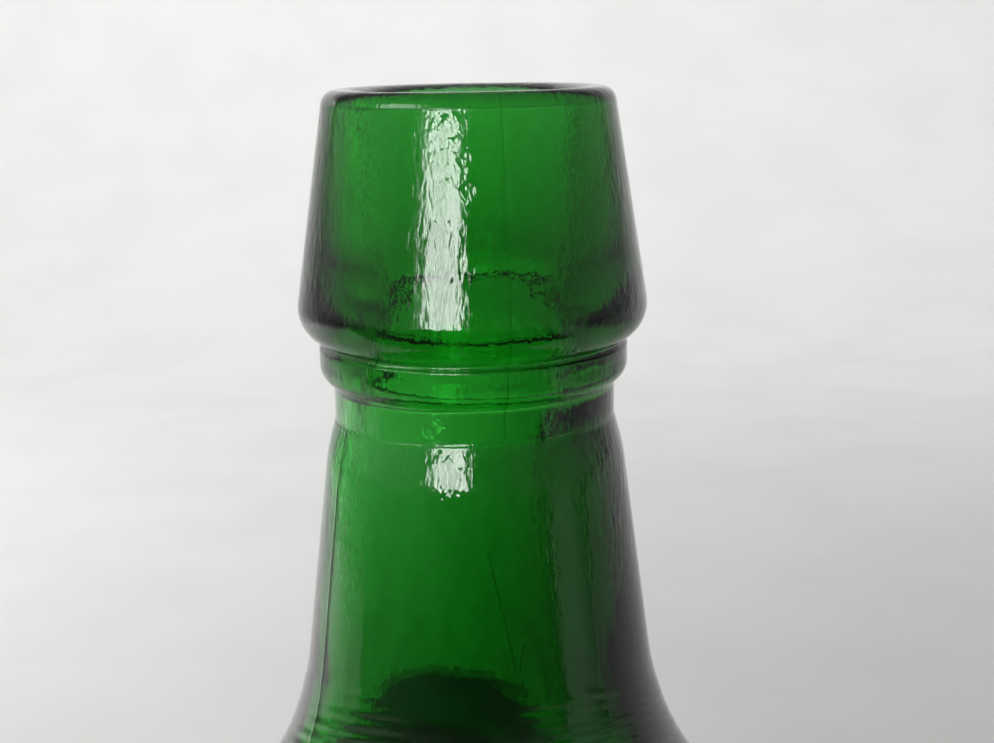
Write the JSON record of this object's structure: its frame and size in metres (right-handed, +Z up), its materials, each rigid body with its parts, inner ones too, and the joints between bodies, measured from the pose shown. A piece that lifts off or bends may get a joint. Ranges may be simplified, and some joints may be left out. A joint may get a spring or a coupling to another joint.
{
  "type": "demijohn",
  "caption": "Empty green glass demijohn: pear-shaped body, pushed-up base, flaring neck and a heavy tapered lip over a narrow ring.",
  "frame": {"origin": "middle of the base, on the surface that the demijohn stands on", "axes": "+Z up along the bottle's axis; it is round, so X and Y are free"},
  "size_m": [0.192, 0.192, 0.342],
  "materials": {
    "green_glass": "clear gloss green bottle glass"
  },
  "bodies": {
    "root": {"demijohn": "green_glass"}
  },
  "joints": []
}
